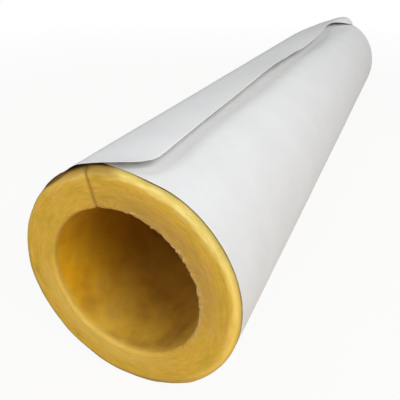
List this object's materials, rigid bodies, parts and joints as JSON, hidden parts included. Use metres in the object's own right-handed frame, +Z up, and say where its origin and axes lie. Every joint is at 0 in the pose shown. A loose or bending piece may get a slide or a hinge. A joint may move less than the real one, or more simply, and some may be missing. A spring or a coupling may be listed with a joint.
{
  "type": "fiberglass pipe insulation",
  "caption": "Moulded fiberglass tube with a lengthwise slit, in a white paper-faced jacket with an open lap, for slipping over a straight pipe.",
  "frame": {"origin": "middle of the bore's axis, halfway along the tube", "axes": "+Y along the tube towards the far end, +Z up with the tube lying on a floor, +X to the right seen from the near end"},
  "size_m": [0.1942, 0.9144, 0.2068],
  "materials": {
    "glass_wool": "matte yellow resin-bonded glass wool",
    "jacket_paper": "matte white laminated paper"
  },
  "bodies": {
    "root": {"fiberglass_wall": "glass_wool", "jacket": "jacket_paper"}
  },
  "joints": []
}
